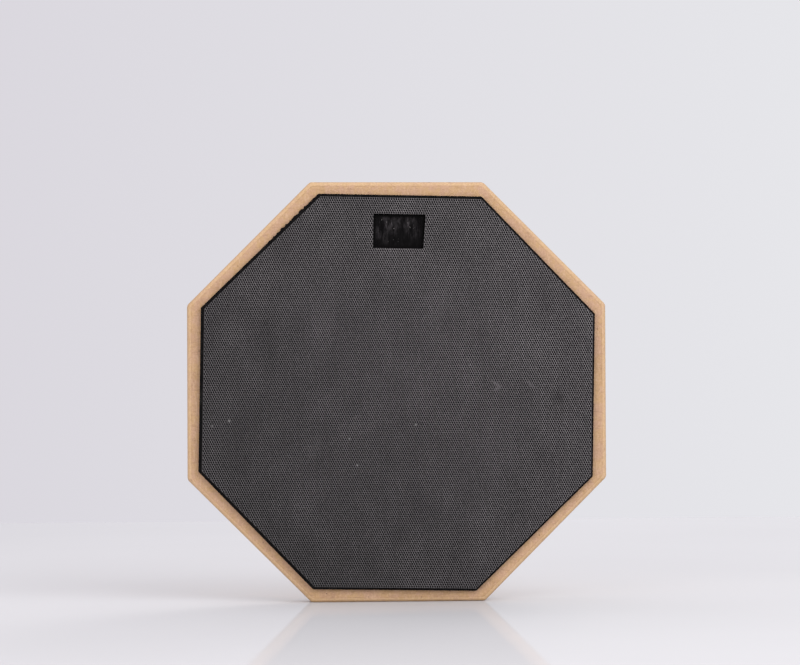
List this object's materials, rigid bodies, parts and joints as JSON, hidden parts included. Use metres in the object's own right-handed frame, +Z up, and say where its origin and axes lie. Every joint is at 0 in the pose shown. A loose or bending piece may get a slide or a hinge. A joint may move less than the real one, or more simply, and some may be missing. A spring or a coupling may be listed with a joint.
{
  "type": "practice pad",
  "caption": "Octagonal drum practice pad: a fibreboard base with a dimpled black pad and name window on one face and a smooth rubber pad on the other.",
  "frame": {"origin": "level with the standing edge of the board, midway between the front and rear faces and midway across the board's width", "axes": "+Z up with the pad standing on edge, +Y out of the smooth rear pad's face, -Y out of the dimpled front pad's face, +X to the right of someone who faces the dimpled front pad"},
  "size_m": [0.3048, 0.0318, 0.3048],
  "materials": {
    "fibreboard": "matte",
    "contact_adhesive": "satin",
    "black_foam": "matte",
    "dimpled_rubber": "matte",
    "foam_tape": "matte",
    "nameplate_black": "satin",
    "gum_rubber": "matte"
  },
  "bodies": {
    "root": {"base_board": "fibreboard", "front_pad_glue": "contact_adhesive", "front_foam": "black_foam", "front_skin_glue": "contact_adhesive", "front_skin": "dimpled_rubber", "nameplate_tape": "foam_tape", "nameplate": "nameplate_black", "rear_pad_glue": "contact_adhesive", "rear_cushion": "black_foam", "rear_rubber_glue": "contact_adhesive", "rear_rubber": "gum_rubber"}
  },
  "joints": []
}
